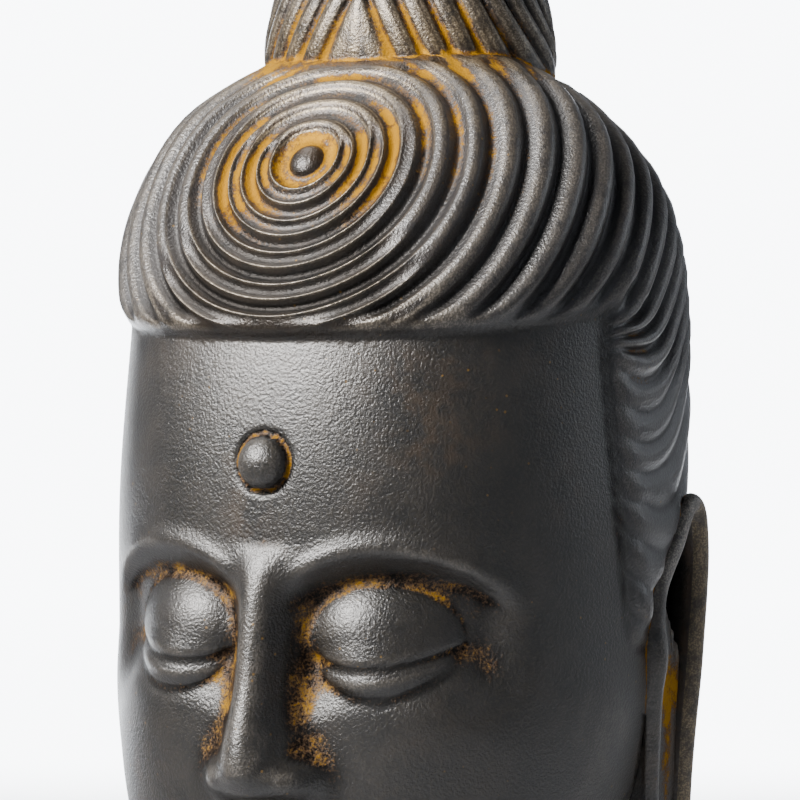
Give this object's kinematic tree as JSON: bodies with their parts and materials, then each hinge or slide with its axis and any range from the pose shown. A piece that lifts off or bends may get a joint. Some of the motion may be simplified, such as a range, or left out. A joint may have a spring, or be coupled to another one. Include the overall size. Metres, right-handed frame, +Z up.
{
  "type": "buddha head sculpture",
  "caption": "Cast head with a fluted topknot, rings of carved hair, long ears and lowered lids, cut flat below the neck so that it stands by itself",
  "frame": {"origin": "middle of the bounding box, on the flat underside of the neck", "axes": "+Z up to the topknot, -Y the way the face looks, +X towards the head's own left ear"},
  "size_m": [0.2534, 0.2804, 0.53],
  "materials": {
    "dark_cast": "satin"
  },
  "bodies": {
    "root": {"buddha_head": "dark_cast"}
  },
  "joints": []
}
